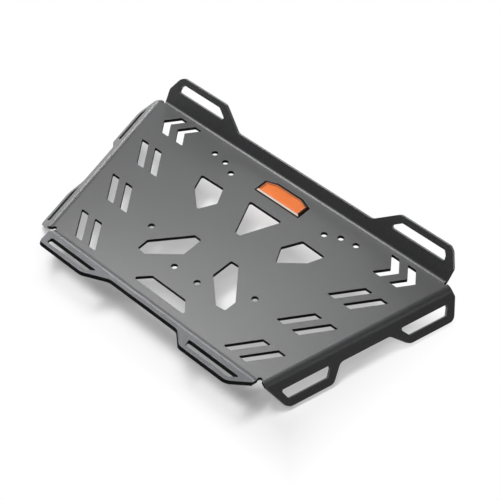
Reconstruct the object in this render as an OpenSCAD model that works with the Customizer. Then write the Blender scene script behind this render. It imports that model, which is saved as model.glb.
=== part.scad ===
// Carrier plate for the rear rack of a motorbike.
// One folded sheet, with turned-up front and rear rails and turned-down side rails that carry
// slotted strap loops, and a plain plastic inlay in a window of its own.
// The view from above has the front (near) edge at -Y and the rear (far) edge at +Y.

/* [Sheet] */
// thickness of the sheet
thickness = 4; // [3:0.5:5]
// distance of the front bend from the middle of the drawing
front_edge = 114; // [112:1:120]
// distance of the rear bend from the middle of the drawing
rear_edge = 100; // [98:1:106]
// half of the flat width, at the middle of the drawing
half_width = 175.7; // [174:0.1:182]
// angle of the side edges to the front-to-rear line
side_angle = 14.48; // [14:0.02:15.5]

/* [Rear rail] */
// how far the rear rail is turned up
rear_bend = 58; // [45:1:70]
// inner radius of the rear bend
rear_radius = 4; // [3:0.5:8]
// half of the length of the rear bend
rear_half_length = 198.5; // [196:0.5:199]
// height of the plain part of the rear rail, from the end of the bend
rear_strip = 12.3; // [11:0.1:14]
// height of the rear strap loops, from the end of the bend
rear_loop = 33; // [32:0.5:36]
// lower and upper edge of the rear strap slots
rear_slot_low = 15.7; // [15:0.1:17]
// height of the opening of the rear strap slots
rear_slot_height = 10.4; // [9:0.1:11]

/* [Front rail] */
// how far the front rail is turned up
front_bend = 30; // [25:1:35]
// inner radius of the front bend
front_radius = 13; // [12:0.5:15]
// half of the length of the front bend
front_half_length = 142.5; // [140:0.5:143]
// depth of the plain part of the front rail, from the end of the bend
front_strip = 6.4; // [6:0.1:7]
// depth of the front strap loops, from the end of the bend
front_loop = 28.2; // [27:0.1:30]
// start of the front strap slots, from the end of the bend
front_slot_low = 8.6; // [8:0.1:9.5]
// width of the front strap slots
front_slot_height = 12.6; // [10:0.1:13]

/* [Side rails] */
// how far the side rails are turned down
side_bend = 45; // [40:1:50]
// inner radius of the side bends
side_radius = 8.6; // [7:0.1:10]
// depth of the plain part of the side rails, from the end of the bend
side_strip = 9.7; // [9:0.1:11]
// depth of the side strap loops, from the end of the bend
side_loop = 25.6; // [25:0.1:28]
// start of the side strap slots, from the end of the bend
side_slot_low = 7.4; // [7:0.1:8]
// width of the side strap slots
side_slot_height = 10; // [9.5:0.1:11]

/* [Corners of the outline] */
// rounding of the free corners of the strap loops
loop_round = 9; // [6:0.5:10]
// rounding where a strap loop runs into the plain rail
root_round = 9; // [6:0.5:12]
// rounding of the corners of the strap slots
slot_round = 2; // [1:0.25:3]
// how far the relief at a corner bites into the two bends beside it
relief_bite = 0.8; // [0.5:0.1:1.2]
// how far the rear corners of the sheet reach past the start of the rear bend
rear_tab = 1.5; // [1:0.1:2]
// width of the slit between such a corner and the end of the rear rail
rear_slit = 1.2; // [1:0.1:1.5]

/* [Slanted slots] */
// number of rows of slanted slots on each side
slot_rows = 3; // [2:1:3]
// width of a slanted slot, across the plate
slot_width = 10; // [8:0.5:11]
// front-to-rear length of a slanted slot
slot_length = 31.5; // [28:0.5:34]
// angle of the slanted slots and of the chevrons
slant_angle = 36.7; // [34:0.1:38]
// distance between two rows
row_pitch = 58.8; // [56:0.2:60]
// distance between the two slots of a row
slot_pitch = 20; // [18:0.5:22]
// rear end of the last row, from the middle of the drawing
slot_rear_end = 42; // [40:0.5:44]
// distance of the rear outer corner of each outer slot from the side bend
slot_margin = 12.5; // [10:0.5:15]
// rounding of the corners of the slanted slots
slit_round = 0.8; // [0.5:0.1:1.5]

/* [Chevrons] */
// front-to-rear position of the points of the chevrons
chevron_y = 79.4; // [78:0.2:81]
// distance of the outer chevron's point from the side bend
chevron_margin = 18.4; // [16:0.2:20]
// distance between the two chevrons of a side
chevron_pitch = 21.4; // [20:0.2:23]
// width of a chevron's arms, across the plate
chevron_width = 10.3; // [8:0.1:11]
// half of the front-to-rear length of a chevron
chevron_half = 15.8; // [14:0.2:17]

/* [Large windows] */
// middle of the five-sided windows, across the plate
five_x = 65; // [62:0.5:68]
// middle of the five-sided windows, front to rear
five_y = 27; // [25:0.5:29]
// middle of the six-sided windows, across the plate
six_x = 41; // [39:0.5:43]
// middle of the six-sided windows, front to rear
six_y = -49; // [-51:0.5:-47]
// rear edge of the middle window
middle_rear = 52.5; // [50:0.5:54]
// front edge of the middle window
middle_front = 8.7; // [7:0.5:12]
// half of the middle window's width at the rear
middle_rear_half = 22.8; // [20:0.5:24]
// half of the middle window's width at the front
middle_front_half = 3.3; // [2.5:0.1:5]
// rear edge of the front window
low_rear = -91; // [-93:0.5:-89]
// front edge of the front window
low_front = -105.6; // [-107:0.1:-103]
// half of the front window's width at its rear edge
low_rear_half = 23.2; // [20:0.5:26]
// half of the front window's width at its front edge
low_front_half = 36.6; // [34:0.1:38]
// rounding of the corners of the large windows
window_round = 2; // [1:0.1:2.5]

/* [Bolt holes] */
// diameter of the bolt holes, a free fit on a 6 mm bolt
bolt_hole = 7; // [6.4:0.1:7.5]
// half spacing of the first pair, at the front
pair_a_x = 16; // [15:0.5:18]
// position of the first pair
pair_a_y = -67; // [-69:0.5:-65]
// half spacing of the second pair
pair_b_x = 73; // [71:0.5:75]
// position of the second pair
pair_b_y = -43.5; // [-46:0.5:-41]
// half spacing of the third pair, nearest the inlay
pair_c_x = 66; // [64:0.5:68]
// position of the third pair
pair_c_y = 69; // [67:0.5:70]
// half spacing of the fourth pair
pair_d_x = 82; // [80:0.5:84]
// position of the fourth pair
pair_d_y = 77; // [75:0.5:78]
// half spacing of the fifth pair, the outermost
pair_e_x = 100; // [98:0.5:102]
// position of the fifth pair
pair_e_y = 79.5; // [78:0.5:81]

/* [Inlay] */
// half of the inlay window's width along its front edge
inlay_half = 31; // [28:0.5:33]
// half of the inlay window's width along its rear edge
inlay_rear_half = 17; // [12:0.5:20]
// front edge of the inlay window
inlay_front = 68; // [66:0.5:70]
// front-to-rear depth of the inlay window
inlay_depth = 24; // [20:0.5:25]
// how much of that depth the slanted rear corners take
inlay_corner = 5.5; // [4:0.5:8]
// gap between the inlay and the edge of its window
inlay_gap = 1.5; // [0.5:0.1:2]
// how far the inlay stands out above the sheet
inlay_proud = 1.6; // [1:0.1:2.5]
// bevel along the inlay's upper edge
inlay_bevel = 1.4; // [0.8:0.1:1.6]
// width of the flange that holds the inlay under the sheet
inlay_lip = 4; // [3:0.5:5]
// thickness of that flange
inlay_lip_thickness = 1.5; // [1:0.1:2]
// width of the rim around the inlay's sunk panel
inlay_rim = 3.4; // [3:0.1:4]
// depth of the inlay's sunk panel
inlay_sunk = 0.7; // [0.5:0.1:1]

/* [Hidden] */
$fn = 64;

slope = tan(side_angle);
// flat outline: the side edges meet the front and rear edges at these half widths
front_corner = half_width - slope * front_edge;
tab_edge = rear_edge + rear_tab;
rear_corner = half_width + slope * tab_edge;
// distances along the side bend, from the middle of the drawing to the front and rear corners
side_front = front_edge / cos(side_angle);
side_rear = tab_edge / cos(side_angle);
// outer radius of the side bends: there the upper face is the outer one
side_outer = side_radius + thickness;
slant = tan(slant_angle);
// strips that the rails are cut from: each shares a narrow seam with the flat sheet, is longer than
// any rail and reaches past the outline drawn on it, and the outlines start below the bends
seam = 0.2;
blank_length = 3 * half_width;
spare = 5;
below_bend = -30;
in_bend = -1;
// arcs are drawn this much larger, so that each cuts the lines that it rounds at one clean point
hair = 0.001;
// the bevel's cutter runs past both ends of its edge
overrun = 3;
// the slanted upper outer corner of a rear strap slot starts this far above the slot's lower edge
rear_slot_corner = 6;
// the rear ends of the side rails flare out a little
side_flare = 0.4;

// how far the sheet reaches down, to the front and to the rear of the drawing's middle
reach_down = side_outer * (1 - cos(side_bend)) + side_loop * sin(side_bend) + thickness * cos(side_bend);
reach_front = front_edge + (front_radius + thickness) * sin(front_bend) + front_loop * cos(front_bend);
reach_rear = rear_edge + (rear_radius + thickness) * sin(rear_bend) + rear_loop * cos(rear_bend);
middle_y = (reach_rear - reach_front) / 2;

// strap loop outlines, half of a rail: distance along the bend, distance from the bend's end
rear_half = [
  [rear_half_length, below_bend],
  [rear_half_length, in_bend],
  [rear_half_length + 0.8, 13.5],
  [190.5, 29.5],
  [185.5, rear_loop],
  [122.2, rear_loop],
  [94.7, rear_strip]
];
rear_rounds = [0, 0, 6, loop_round, 5, loop_round, root_round];
rear_slot = [
  [114.8, rear_slot_low],
  [186.6, rear_slot_low],
  [185.6, rear_slot_low + rear_slot_corner],
  [182.4, rear_slot_low + rear_slot_height],
  [128.4, rear_slot_low + rear_slot_height]
];
front_half = [
  [front_half_length, below_bend],
  [front_half_length, in_bend],
  [front_half_length + 0.8, 2],
  [130.2, front_loop],
  [68.2, front_loop],
  [47, front_strip]
];
front_rounds = [0, 0, 3, loop_round, loop_round, root_round];
front_slot = [
  [64.8, front_slot_low],
  [131.6, front_slot_low],
  [125.8, front_slot_low + front_slot_height],
  [70.8, front_slot_low + front_slot_height]
];
// the side rail has two unlike loops, so its whole outline is given, rear to front
side_outline = [
  [side_rear, below_bend],
  [side_rear, in_bend],
  [side_rear + side_flare, 4],
  [94, side_loop],
  [39.2, side_loop],
  [22.6, side_strip],
  [-36.8, side_strip],
  [-52, side_loop],
  [-104.3, side_loop],
  [-side_front + 1, 1],
  [-side_front, in_bend],
  [-side_front, below_bend]
];
side_rounds = [0, 0, 4, loop_round, loop_round, root_round, root_round, loop_round, loop_round, 3, 0, 0];
side_slots = [
  [
    [-104.8, side_slot_low],
    [-46.8, side_slot_low],
    [-54.8, side_slot_low + side_slot_height],
    [-100.4, side_slot_low + side_slot_height]
  ],
  [
    [34.7, side_slot_low],
    [94.4, side_slot_low],
    [88.2, side_slot_low + side_slot_height],
    [42.2, side_slot_low + side_slot_height]
  ]
];
// corners of the large windows, from their middles
five_corners = [[22.3, 19.2], [-8.7, 20.1], [-19.7, -1], [-9.5, -21.1], [14.8, 0.4]];
six_corners = [[-10.3, 26.9], [-19.8, 26.5], [-20.3, 0], [9.5, -26.9], [20.5, -25.5], [21, -10.9]];
bolt_holes = [
  [pair_a_x, pair_a_y],
  [pair_b_x, pair_b_y],
  [pair_c_x, pair_c_y],
  [pair_d_x, pair_d_y],
  [pair_e_x, pair_e_y]
];

function unit(v) = v / norm(v);
function turn(a, b) = a[0] * b[1] - a[1] * b[0];

// Outline whose corners are rounded with true arcs, each by its own radius.
// The points run counter-clockwise; a corner that points inwards is filled instead of cut.
module rounded(points, radii) {
  n = len(points);
  before = [for (i = [0:n - 1]) unit(points[(i + n - 1) % n] - points[i])];
  after = [for (i = [0:n - 1]) unit(points[(i + 1) % n] - points[i])];
  half = [for (i = [0:n - 1]) acos(before[i] * after[i]) / 2];
  outward = [for (i = [0:n - 1]) turn(after[i], before[i]) > 0];
  middle = [for (i = [0:n - 1]) points[i] + unit(before[i] + after[i]) * radii[i] / sin(half[i])];
  difference() {
    union() {
      polygon([
        for (i = [0:n - 1])
          each radii[i] == 0 ? [points[i]] : [
            points[i] + before[i] * radii[i] / tan(half[i]),
            points[i] + after[i] * radii[i] / tan(half[i])
          ]
      ]);
      for (i = [0:n - 1])
        if (radii[i] > 0 && outward[i])
          translate(middle[i]) circle(r = radii[i] + hair);
    }
    for (i = [0:n - 1])
      if (radii[i] > 0 && !outward[i])
        translate(middle[i]) circle(r = radii[i] + hair);
  }
}

// the same radius at every corner
module rounded_all(points, radius) {
  rounded(points, [for (p = points) radius]);
}

module both_sides() {
  children();
  mirror([1, 0, 0]) children();
}

// Section of a folded edge, turned up about (0, radius): the flat's last strip, the bend with both
// faces as true arcs, and a leg of the given length.
module folded_section(radius, angle, leg) {
  outer = radius + thickness;
  middle = [0, radius];
  along = [cos(angle), sin(angle)];
  across = [sin(angle), -cos(angle)];
  inner_end = middle + radius * across;
  outer_end = middle + outer * across;
  inner_apex = [radius * tan(angle / 2), 0];
  outer_apex = [outer * tan(angle / 2), -thickness];
  difference() {
    union() {
      polygon([
        [-seam, 0],
        [-seam, -thickness],
        outer_apex,
        outer_end + leg * along,
        inner_end + leg * along,
        inner_apex
      ]);
      difference() {
        polygon([[0, 0], (inner_apex + outer_apex) / 2, inner_end, middle]);
        translate(middle) circle(r = radius + hair);
      }
    }
    difference() {
      polygon([[0, -thickness], middle + (outer_apex - middle) * 1.2, outer_end, middle]);
      translate(middle) circle(r = outer + hair);
    }
  }
}

// Turned-up rail along X, cut from its folded strip to the outline drawn on the leg's upper face.
module rail_up(radius, angle, leg) {
  intersection() {
    rotate([90, 0, 90])
      linear_extrude(blank_length, center = true) folded_section(radius, angle, leg);
    translate([0, radius * sin(angle), radius * (1 - cos(angle))])
      rotate([angle, 0, 0])
        linear_extrude(blank_length, center = true) children();
  }
}

// The same turned down, where the upper face is the outer one of the bend.
module rail_down(radius, angle, leg) {
  outer = radius + thickness;
  intersection() {
    translate([0, 0, -thickness])
      rotate([-90, 0, 90])
        linear_extrude(blank_length, center = true) folded_section(radius, angle, leg);
    translate([0, outer * sin(angle), -outer * (1 - cos(angle))])
      rotate([-angle, 0, 0])
        linear_extrude(blank_length, center = true) children();
  }
}

// a rail that is the same to the left and right, from half of its outline
module even_outline(half, rounds) {
  n = len(half);
  rounded(
    concat(half, [for (i = [n - 1:-1:0]) [-half[i][0], half[i][1]]]),
    concat(rounds, [for (i = [n - 1:-1:0]) rounds[i]])
  );
}

module rear_rail() {
  translate([0, rear_edge, 0])
    rail_up(rear_radius, rear_bend, rear_loop + spare)
      difference() {
        even_outline(rear_half, rear_rounds);
        both_sides() rounded_all(rear_slot, slot_round);
      }
}

module front_rail() {
  rotate([0, 0, 180])
    translate([0, front_edge, 0])
      rail_up(front_radius, front_bend, front_loop + spare)
        difference() {
          even_outline(front_half, front_rounds);
          both_sides() rounded_all(front_slot, slot_round);
        }
}

// left side rail: X of the rail runs from front to rear along the slanted edge
module side_rail() {
  translate([-half_width, 0, 0])
    rotate([0, 0, 90 + side_angle])
      rail_down(side_radius, side_bend, side_loop + spare)
        difference() {
          rounded(side_outline, side_rounds);
          for (slot = side_slots) rounded_all(slot, slot_round);
        }
}

// slanted slot, its rear outer corner at the origin
module slanted_slot() {
  rounded_all([
    [0, 0],
    [-slot_width, 0],
    [-slot_width - slant * slot_length, -slot_length],
    [-slant * slot_length, -slot_length]
  ], slit_round);
}

// chevron whose point faces outwards, at the origin
module chevron() {
  rounded_all([
    [0, 0],
    [-slant * chevron_half, chevron_half],
    [-slant * chevron_half - chevron_width, chevron_half],
    [-chevron_width, 0],
    [-slant * chevron_half - chevron_width, -chevron_half],
    [-slant * chevron_half, -chevron_half]
  ], slit_round);
}

function side_at(y) = half_width + slope * y;

module side_cutouts() {
  for (row = [0:slot_rows - 1], place = [0:1]) {
    y = slot_rear_end - row * row_pitch;
    translate([side_at(y) - slot_margin - place * slot_pitch, y]) slanted_slot();
  }
  for (place = [0:1])
    translate([side_at(chevron_y) - chevron_margin - place * chevron_pitch, chevron_y]) chevron();
  translate([five_x, five_y]) rounded_all(five_corners, window_round);
  translate([six_x, six_y]) rounded_all(six_corners, window_round);
  for (hole = bolt_holes) translate(hole) circle(d = bolt_hole);
}

// Outline of the inlay and of its window, grown by an allowance on every straight side.
module inlay_outline(grow) {
  rear = inlay_front + inlay_depth;
  corner_angle = atan2(inlay_corner, inlay_half - inlay_rear_half);
  polygon([
    [-inlay_half - grow, inlay_front - grow],
    [inlay_half + grow, inlay_front - grow],
    [inlay_half + grow, rear - inlay_corner + grow * tan(45 - corner_angle / 2)],
    [inlay_rear_half + grow * tan(corner_angle / 2), rear + grow],
    [-inlay_rear_half - grow * tan(corner_angle / 2), rear + grow],
    [-inlay_half - grow, rear - inlay_corner + grow * tan(45 - corner_angle / 2)]
  ]);
}

// Small round relief at a corner, between the end of a rail and the neighbouring side bend.
module corner_relief(rail_end, corner, y) {
  translate([(rail_end + corner) / 2, y, -1.5 * thickness])
    cylinder(d = corner - rail_end + 2 * relief_bite, h = 2 * thickness);
}

module flat_sheet() {
  difference() {
    polygon([
      [-front_corner, -front_edge],
      [front_corner, -front_edge],
      [rear_corner, tab_edge],
      [rear_half_length + rear_slit, tab_edge],
      [rear_half_length + rear_slit, rear_edge],
      [-rear_half_length - rear_slit, rear_edge],
      [-rear_half_length - rear_slit, tab_edge],
      [-rear_corner, tab_edge]
    ]);
    both_sides() side_cutouts();
    rounded_all([
      [middle_rear_half, middle_rear],
      [-middle_rear_half, middle_rear],
      [-middle_front_half, middle_front],
      [middle_front_half, middle_front]
    ], window_round);
    rounded_all([
      [low_rear_half, low_rear],
      [-low_rear_half, low_rear],
      [-low_front_half, low_front],
      [low_front_half, low_front]
    ], window_round);
    inlay_outline(0);
  }
}

// The folded sheet: the flat, two rails turned up and two rails turned down, all one piece.
module carrier_plate() {
  color([0.22, 0.22, 0.23])
    translate([0, -middle_y, reach_down])
      difference() {
        union() {
          translate([0, 0, -thickness]) linear_extrude(thickness) flat_sheet();
          rear_rail();
          front_rail();
          both_sides() side_rail();
        }
        both_sides() {
          corner_relief(front_half_length, front_corner, -front_edge);
          corner_relief(rear_half_length, rear_half_length + rear_slit, (rear_edge + tab_edge) / 2);
        }
      }
}

// Bevel along the straight edge between two points of the inlay's upper rim.
module bevel(from, to) {
  run = to - from;
  side = inlay_bevel * sqrt(2);
  translate([from[0], from[1], inlay_proud])
    rotate([0, 0, atan2(run[1], run[0])])
      rotate([45, 0, 0])
        translate([-overrun, -side / 2, -side / 2]) cube([norm(run) + 2 * overrun, side, side]);
}

// Moulded plastic inlay: a block that fills the window, held by a flange under the sheet.
module inlay() {
  rear = inlay_front + inlay_depth;
  corners = [
    [-inlay_half + inlay_gap, inlay_front + inlay_gap],
    [inlay_half - inlay_gap, inlay_front + inlay_gap],
    [inlay_half - inlay_gap, rear - inlay_corner],
    [inlay_rear_half, rear - inlay_gap],
    [-inlay_rear_half, rear - inlay_gap],
    [-inlay_half + inlay_gap, rear - inlay_corner]
  ];
  color([0.95, 0.42, 0.12])
    translate([0, -middle_y, reach_down])
      difference() {
        union() {
          translate([0, 0, -thickness]) linear_extrude(thickness + inlay_proud) inlay_outline(-inlay_gap);
          translate([0, 0, -thickness - inlay_lip_thickness])
            linear_extrude(inlay_lip_thickness) inlay_outline(inlay_lip);
        }
        for (i = [0:5]) bevel(corners[i], corners[(i + 1) % 6]);
        translate([0, 0, inlay_proud - inlay_sunk])
          linear_extrude(inlay_sunk + 1) inlay_outline(-inlay_gap - inlay_rim);
      }
}

carrier_plate();
inlay();
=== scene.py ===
import math

import bpy
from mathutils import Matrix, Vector


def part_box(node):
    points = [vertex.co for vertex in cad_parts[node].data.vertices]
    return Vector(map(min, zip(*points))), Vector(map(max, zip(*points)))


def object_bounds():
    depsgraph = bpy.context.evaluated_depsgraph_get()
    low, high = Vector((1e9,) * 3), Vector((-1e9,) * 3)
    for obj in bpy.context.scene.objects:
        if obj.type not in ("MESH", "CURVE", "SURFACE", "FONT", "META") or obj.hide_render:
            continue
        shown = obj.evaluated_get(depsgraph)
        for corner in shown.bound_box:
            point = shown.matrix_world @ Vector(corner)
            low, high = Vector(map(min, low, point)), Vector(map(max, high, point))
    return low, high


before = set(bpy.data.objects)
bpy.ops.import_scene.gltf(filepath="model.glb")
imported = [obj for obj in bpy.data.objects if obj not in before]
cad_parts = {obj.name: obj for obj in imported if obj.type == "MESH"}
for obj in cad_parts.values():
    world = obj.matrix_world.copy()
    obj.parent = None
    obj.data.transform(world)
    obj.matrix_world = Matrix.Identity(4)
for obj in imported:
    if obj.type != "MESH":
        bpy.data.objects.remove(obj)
cad_box = [list(corner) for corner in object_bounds()]

# Camera: the plate was photographed from its front right corner with a long lens, looking down by
# 48 degrees. The view is level, with no shift. These values were fitted to the photograph.
look_at = Vector((0.01984, 0.01782, 0.01664))
distance = 1.5
turned_right = math.radians(42.873)
raised = math.radians(47.613)
away = Vector((
    math.cos(raised) * math.sin(turned_right),
    -math.cos(raised) * math.cos(turned_right),
    math.sin(raised),
))
camera_data = bpy.data.cameras.new("camera")
camera_data.sensor_width = 36
camera_data.lens = 105.08
camera_data.clip_end = 50
camera = bpy.data.objects.new("camera", camera_data)
camera.location = look_at + away * distance
camera.rotation_euler = (-away).to_track_quat("-Z", "Y").to_euler()
bpy.context.scene.collection.objects.link(camera)
bpy.context.scene.camera = camera
bpy.context.scene.view_settings.view_transform = "Standard"

# Folded sheet: 4 mm aluminium, cut by laser and folded in a press brake along its four edges. It is
# powder coated black, with a fine grain and a satin shine. Its edges are painted paler, partly as wear
# and partly as a painted highlight, and its cut walls are dull and painted near black as painted shade.
deep_black = (0.014, 0.015, 0.017, 1)
grey_black = (0.022, 0.023, 0.025, 1)
speckle = (0.068, 0.068, 0.070, 1)
# the paler edge colour: partly wear, partly a painted highlight
rubbed_and_highlit = (0.16, 0.16, 0.165, 1)
# the cut wall colours: near black, which is painted shade
painted_shade_black = (0.003, 0.003, 0.003, 1)
painted_shade_dim = (0.010, 0.009, 0.009, 1)
edge_radius = 0.0005
grain_depth = 0.00006
# the least paleness at an edge: partly wear, partly a painted highlight
least_wear_and_highlight = 0.45
satin_roughness = 0.34
cut_wall_roughness = 0.75
# the front rail, seen from above: its depth, and how much its cut walls face up because it leans
rail_depth = 0.0276
rail_blur = 0.0010
rail_lean = 0.45


class Socket:
    """A node's output with arithmetic: an expression on values adds its Math nodes."""

    def __init__(self, finish, output):
        self.finish = finish
        self.output = output

    def maths(self, operation, *values):
        return self.finish.node("Math", 0, {"operation": operation}, dict(enumerate(values)))

    def __add__(self, other):
        return self.maths("ADD", self, other)

    def __radd__(self, other):
        return self.maths("ADD", other, self)

    def __sub__(self, other):
        return self.maths("SUBTRACT", self, other)

    def __rsub__(self, other):
        return self.maths("SUBTRACT", other, self)

    def __mul__(self, other):
        return self.maths("MULTIPLY", self, other)

    def __rmul__(self, other):
        return self.maths("MULTIPLY", other, self)

    def __neg__(self):
        return self.maths("MULTIPLY", -1.0, self)

    def __abs__(self):
        return self.maths("ABSOLUTE", self)

    def larger(self, other):
        return self.maths("MAXIMUM", self, other)

    def smaller(self, other):
        return self.maths("MINIMUM", self, other)

    def within(self, low, high):
        """0 at low, 1 at high, and held at both ends."""
        return self.finish.node("MapRange", "Result", Value=self, From_Min=low, From_Max=high)


class Finish:
    """A material or a world while its nodes are being laid out."""

    def __init__(self, owner):
        owner.use_nodes = True
        self.owner = owner
        self.tree = owner.node_tree
        self.tree.nodes.clear()

    def node(self, kind, output=0, settings=None, numbered=None, **named):
        """Add a node: first its settings, then values or links by socket number and by name."""
        node = self.tree.nodes.new("ShaderNode" + kind)
        for name, value in (settings or {}).items():
            setattr(node, name, value)
        sockets = dict(numbered or {})
        for name, value in named.items():
            sockets[name.replace("_", " ")] = value
        for key, value in sockets.items():
            if isinstance(value, Socket):
                self.tree.links.new(value.output, node.inputs[key])
            else:
                node.inputs[key].default_value = value
        return Socket(self, node.outputs[output]) if node.outputs else None

    def noise(self, place, scale, detail, roughness=0.5):
        return self.node("TexNoise", "Fac", Vector=place, Scale=scale, Detail=detail, Roughness=roughness)

    def axis(self, name, vector):
        return self.node("SeparateXYZ", name, Vector=vector)

    def edges(self, full):
        """The normal rounded at edges, the true normal, and a mask of how far they part, 1 at full."""
        rounded = self.node("Bevel", 0, {"samples": 8}, Radius=edge_radius)
        flat = self.node("NewGeometry", "True Normal")
        alike = self.node("VectorMath", "Value", {"operation": "DOT_PRODUCT"}, {0: rounded, 1: flat})
        return rounded, flat, (1.0 - alike).within(0.01, full)

    def blend(self, factor, first, second):
        """A Mix node of colours, whose factor is input 0, colours inputs 6 and 7, result output 2."""
        return self.node("Mix", 2, {"data_type": "RGBA"}, {0: factor, 6: first, 7: second})

    def mix(self, factor, first, second):
        return self.node("MixShader", 0, None, {0: factor, 1: first, 2: second})

    def done(self, surface, kind="OutputMaterial"):
        self.node(kind, Surface=surface)
        return self.owner


def coat(name, material):
    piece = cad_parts[name]
    piece.data.materials.clear()
    piece.data.materials.append(material)


powder = Finish(bpy.data.materials.new("satin_black_powder"))
place = powder.node("TexCoord", "Object")
cloud = powder.noise(place, scale=9.0, detail=3.0)
blotch = powder.noise(place, scale=45.0, detail=4.0)
grain = powder.noise(place, scale=1500.0, detail=3.0, roughness=0.6)
fine = powder.noise(place, scale=4200.0, detail=1.0)
rounded, flat, edge = powder.edges(full=0.12)
# edges painted paler, partly as wear and partly as a painted highlight
worn_and_highlit = edge * (least_wear_and_highlight + (1.0 - least_wear_and_highlight) * blotch.within(0.35, 0.65))

# the laser cut upright walls through the flat sheet, and leaning ones through the front rail, painted near
# black as painted shade
level = abs(powder.axis("Z", flat))
rail_start = -cad_box[0][1] - rail_depth
front_rail = (-powder.axis("Y", place)).within(rail_start, rail_start + rail_blur)
wall = 1.0 - (level - rail_lean * front_rail).within(0.08, 0.25)

black = powder.blend(cloud.within(0.3, 0.7), deep_black, grey_black)
speckled = powder.blend(grain.within(0.38, 0.62) * 0.85, black, speckle)
relief = powder.node(
    "Bump", Strength=0.4, Distance=grain_depth, Height=grain * 0.7 + fine * 0.3, Normal=rounded
)
satin = powder.node(
    "BsdfPrincipled",
    Base_Color=powder.blend(worn_and_highlit * 0.5, speckled, rubbed_and_highlit),
    Specular_IOR_Level=0.85,
    Roughness=satin_roughness + 0.05 * cloud + 0.14 * (grain - 0.5) - 0.05 * worn_and_highlit,
    Normal=relief,
)
# the cut walls: dull, in a near black that is painted shade
dull = powder.node(
    "BsdfPrincipled",
    Base_Color=powder.blend(blotch.within(0.3, 0.7), painted_shade_black, painted_shade_dim),
    Specular_IOR_Level=0.08,
    Roughness=cut_wall_roughness + 0.15 * grain,
    Normal=relief,
)
coat("carrier_plate", powder.done(powder.mix(wall * 0.96, satin, dull)))

# Inlay: a moulded plate of glossy orange plastic with a sunk panel and a bevelled rim, pushed up
# into its window from below until its flange meets the sheet. The mould left a faint orange peel.
# The front bevel, and faintly the edges, are painted pale as a painted highlight, and a dark line of
# painted shade follows the other edges, with the walls painted dark as shade in the gap.
deep_orange = (0.80, 0.160, 0.007, 1)
light_orange = (0.88, 0.192, 0.018, 1)
painted_highlight_white = (1.0, 0.88, 0.80, 1)
shadow_brown = (0.012, 0.006, 0.004, 1)
peel_depth = 0.00005
glossy_roughness = 0.32
# the flange reaches this far beyond the rim that shows
hidden_flange = 0.0055
# the rear edge turns forward into a slanted corner this far from the middle, by this angle
corner_start = 0.01672
corner_turn = math.radians(21.45)
line_width = 0.0025
line_blur = 0.0002

plastic = Finish(bpy.data.materials.new("moulded_orange"))
place = plastic.node("TexCoord", "Object")
flow = plastic.noise(place, scale=60.0, detail=3.0)
peel = plastic.noise(place, scale=900.0, detail=2.0)
dust = plastic.noise(place, scale=2600.0, detail=2.0)
rounded, flat, edge = plastic.edges(full=0.15)

level = abs(plastic.axis("Z", flat))
forward = (-plastic.axis("Y", flat)).within(0.3, 0.5)
bevel = level.within(0.5, 0.6) - level.within(0.8, 0.9)
front_bevel = bevel * forward
# the walls are painted dark, as painted shade in the gap
wall = 1.0 - level.within(0.1, 0.3)

# the painted shade line lies within a set width of the rear edge, the ends and the slanted corners
across = abs(plastic.axis("X", place))
from_end = (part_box("inlay")[1][0] - hidden_flange) - across
from_rear = (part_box("inlay")[1][1] - hidden_flange) - plastic.axis("Y", place)
from_corner = from_rear * math.cos(corner_turn) + (corner_start - across) * math.sin(corner_turn)
inward = from_corner.smaller(from_end.smaller(from_rear))
line = 1.0 - inward.within(line_width - line_blur, line_width + line_blur)
# painted shade on the walls and along the line, but not on the front bevel
shaded = wall.larger(line * (1.0 - front_bevel))

orange = plastic.blend(flow.within(0.3, 0.7), deep_orange, light_orange)
# painted highlight: the front bevel nearly white, the edges a little paler
paler = plastic.blend(edge * 0.3 + front_bevel, orange, painted_highlight_white)
gloss = plastic.node(
    "BsdfPrincipled",
    Base_Color=plastic.blend(shaded * 0.95, paler, shadow_brown),
    Specular_IOR_Level=0.35,
    Roughness=glossy_roughness + 0.12 * dust + 0.05 * flow,
    Normal=plastic.node("Bump", Strength=0.2, Distance=peel_depth, Height=peel, Normal=rounded),
)
coat("inlay", plastic.done(gloss))

# Floor: a plain white table, which takes the plate's shadow. To the camera it also glows: partly under
# the plate, least under the front rail as a painted shadow, and fully beyond, where it fades into a white
# surround.
half_table = 6
matt_white = (0.97, 0.97, 0.97, 1)
glow_white = (1, 1, 1, 1)
# the shaded zone is a rectangle under the plate, a little forward of its middle
shaded_half_width = 0.190
shaded_half_depth = 0.085
shaded_forward = 0.030
fade = 0.045
# the painted shadow under the front rail deepens between these distances forward of the middle
rail_shade_start = 0.085
rail_shade_end = 0.112
glow_under_plate = 0.42
glow_under_rail = 0.18

low, high = -half_table, half_table
floor_mesh = bpy.data.meshes.new("floor")
floor_mesh.from_pydata([(low, low, 0), (high, low, 0), (high, high, 0), (low, high, 0)], [], [(0, 1, 2, 3)])
floor = bpy.data.objects.new("floor", floor_mesh)
bpy.context.scene.collection.objects.link(floor)

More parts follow.
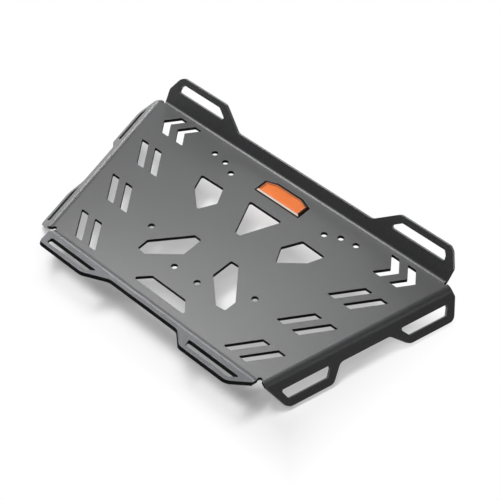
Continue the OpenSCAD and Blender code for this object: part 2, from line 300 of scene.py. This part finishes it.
table = Finish(bpy.data.materials.new("white_table"))
spot = table.node("TexCoord", "Object")
sideways = abs(table.axis("X", spot)) - shaded_half_width
lengthways = abs(table.axis("Y", spot) + shaded_forward) - shaded_half_depth
clear = sideways.larger(lengthways).within(0.0, fade)
painted_rail_shadow = (-table.axis("Y", spot)).within(rail_shade_start, rail_shade_end)
rays = (
    table.node("LightPath", "Is Camera Ray")
    + table.node("LightPath", "Is Glossy Ray")
    + table.node("LightPath", "Is Transmission Ray")
)
# the glow dips under the front rail as a painted shadow
glowing = glow_under_plate - (glow_under_plate - glow_under_rail) * painted_rail_shadow
matt = table.node("BsdfDiffuse", Color=matt_white)
glow = table.node("Emission", Color=glow_white, Strength=1.0)
seen = rays * (glowing + (1.0 - glowing) * clear)
floor_mesh.materials.append(table.done(table.mix(seen, matt, glow)))

# Light: twelve softboxes in a dim studio. The flat of the plate mirrors the seven overhead towards
# the camera, four long low ones behind on the left light the bends and rails, and one is on the right.
studio_white = (1, 1, 1, 1)
studio_strength = 0.10
lamp_distance = 1.8

studio = Finish(bpy.data.worlds.new("studio"))
dim = studio.node("Background", Color=studio_white, Strength=studio_strength)
bpy.context.scene.world = studio.done(dim, "OutputWorld")


def softbox(name, direction, wide, deep, radiance, tint=(1, 1, 1)):
    """A box of light turned to the plate's middle; its energy gives it this radiance."""
    data = bpy.data.lights.new(name, "AREA")
    data.shape = "RECTANGLE"
    data.size = wide
    data.size_y = deep
    data.energy = math.pi * wide * deep * radiance
    data.color = tint
    lamp = bpy.data.objects.new(name, data)
    lamp.location = Vector(direction).normalized() * lamp_distance
    lamp.rotation_euler = (-lamp.location).to_track_quat("-Z", "Y").to_euler()
    bpy.context.scene.collection.objects.link(lamp)


softbox("overhead_left", (-0.47, 0.25, 0.85), 0.36, 0.36, 13.4)
softbox("overhead_rear_left", (-0.32, 0.44, 0.84), 0.36, 0.36, 7.4)
softbox("overhead_front_left", (-0.46, 0.05, 0.885), 0.36, 0.36, 15.8)
softbox("wide_front_left", (-0.46, 0.05, 0.885), 0.80, 0.70, 3.6)
softbox("overhead", (-0.20, 0.20, 0.96), 0.40, 0.40, 3.8)
softbox("wide_left_front", (-0.46, -0.35, 0.80), 0.80, 0.80, 2.5)
softbox("overhead_front", (0.10, -0.30, 0.95), 0.70, 0.70, 1.9)
softbox("low_left", (-0.88, 0.39, 0.25), 0.90, 0.30, 1.9)
softbox("horizon_left", (-0.92, 0.37, 0.10), 0.90, 0.18, 11.0)
softbox("low_behind", (-0.46, 0.85, 0.25), 0.90, 0.30, 6.2, (0.95, 0.98, 1.06))
softbox("raised_behind", (-0.49, 0.80, 0.36), 0.90, 0.18, 9.2)
softbox("right", (0.68, 0.24, 0.70), 0.25, 0.25, 3.8)
